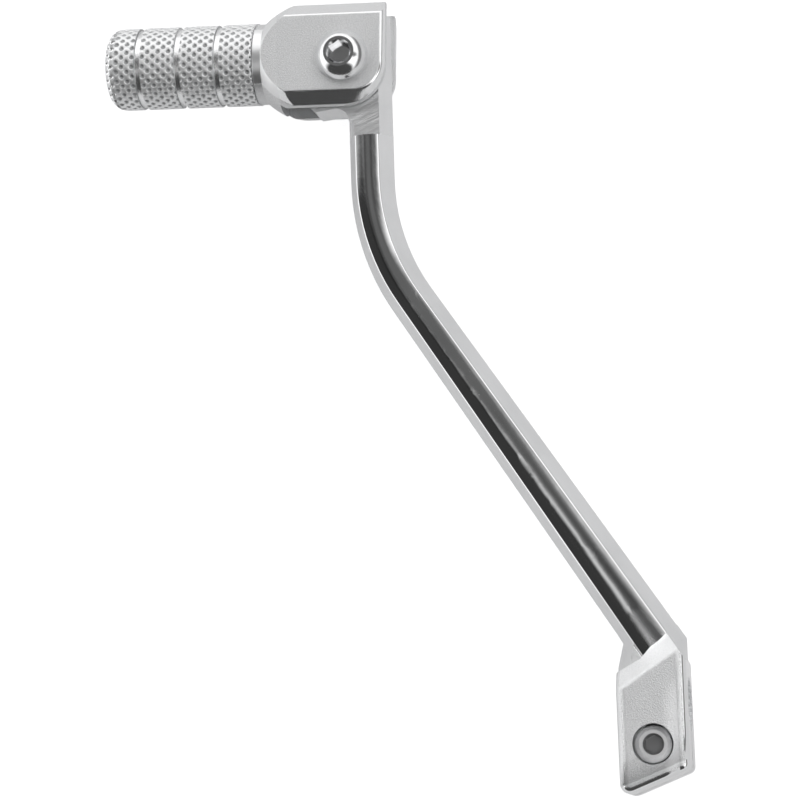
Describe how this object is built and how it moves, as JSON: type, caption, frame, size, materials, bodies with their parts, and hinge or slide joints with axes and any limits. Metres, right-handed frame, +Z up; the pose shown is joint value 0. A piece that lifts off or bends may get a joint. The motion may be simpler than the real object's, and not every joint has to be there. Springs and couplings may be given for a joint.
{
  "type": "folding gear shift lever",
  "caption": "Foot gear shift lever: a polished forged arm with a splined clamp boss at one end and a spring-loaded folding knurled toe peg at the other.",
  "frame": {"origin": "centre of the serrated spindle bore in the clamp boss", "axes": "+X forward from the spindle to the toe peg, +Y outboard along the bore and, within 2.3 degrees, the peg, +Z up towards the heads of the pivot bolt and the pinch bolt"},
  "size_m": [0.1947, 0.1367, 0.0324],
  "materials": {
    "polished_aluminium": "mirror polished and satin forged aluminium",
    "knurled_aluminium": "satin head and diamond-knurled peg",
    "chromed_steel": "bright plated",
    "zinc_steel": "zinc plated",
    "bronze": "turned bronze",
    "spring_steel": "oiled spring steel",
    "nylon": "natural nylon"
  },
  "bodies": {
    "arm": {"lever_arm": "polished_aluminium", "pivot_bushes": "bronze", "pinch_bolt": "chromed_steel", "pinch_washer": "zinc_steel"},
    "tip": {"folding_tip": "knurled_aluminium", "pivot_bolt": "chromed_steel", "nut_washer": "zinc_steel", "lock_nut": "zinc_steel", "nylon_ring": "nylon", "return_spring": "spring_steel"},
    "plunger": {"detent_plunger": "zinc_steel"}
  },
  "joints": [
    {"name": "tip_fold", "type": "hinge", "parent": "arm", "child": "tip", "pos_m": [0.1595, 0.0681, 0], "axis": [0, 0, 1], "range_deg": [0, 50], "stiffness_Nm_per_rad": 0.25, "springref_deg": -22.92},
    {"name": "plunger_slide", "type": "slide", "parent": "tip", "child": "plunger", "axis": [0.0401, 0.9992, 0], "range_m": [0, 0.0018], "deforming": ["return_spring"]}
  ],
  "couplings": [
    {"joint": "plunger_slide", "follows": "tip_fold", "m_per_rad": 0.002}
  ]
}
